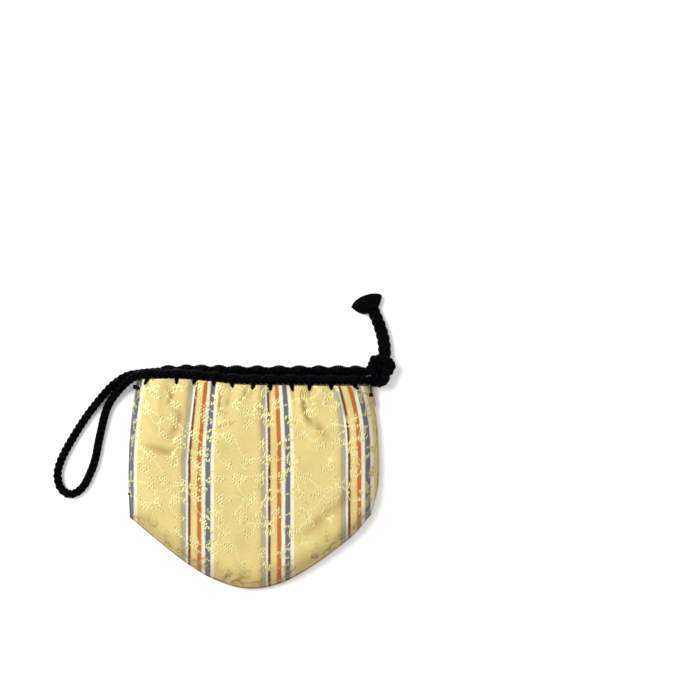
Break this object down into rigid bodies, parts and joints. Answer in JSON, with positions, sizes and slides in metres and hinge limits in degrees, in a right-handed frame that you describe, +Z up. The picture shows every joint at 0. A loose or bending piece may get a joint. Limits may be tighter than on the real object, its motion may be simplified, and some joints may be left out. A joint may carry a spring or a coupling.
{
  "type": "drawstring pouch",
  "caption": "Flat lined pouch of striped silk brocade with a pointed bottom, gathered mouth, thread loops and a black braided drawstring.",
  "frame": {"origin": "bottom centre of the pouch as it lies flat, cord left out", "axes": "+Z up from the back panel to the front panel, +X along the mouth to the knot, +Y from the pointed bottom to the mouth"},
  "size_m": [0.1581, 0.1364, 0.0127],
  "materials": {
    "brocade": "striped, gold figured silk brocade",
    "lining_silk": "plain matt silk",
    "thread_silk": "twisted black silk",
    "cord_silk": "round braided black silk",
    "head_silk": "smooth black wrapped silk"
  },
  "bodies": {
    "root": {"front_panel": "brocade", "back_panel": "brocade", "lining": "lining_silk", "front_mouth_loops": "thread_silk", "back_mouth_loops": "thread_silk", "left_bar_tack": "thread_silk", "right_bar_tack": "thread_silk", "drawstring_cord": "cord_silk", "cord_knot": "cord_silk", "braided_tail": "cord_silk", "tail_head": "head_silk"}
  },
  "joints": []
}
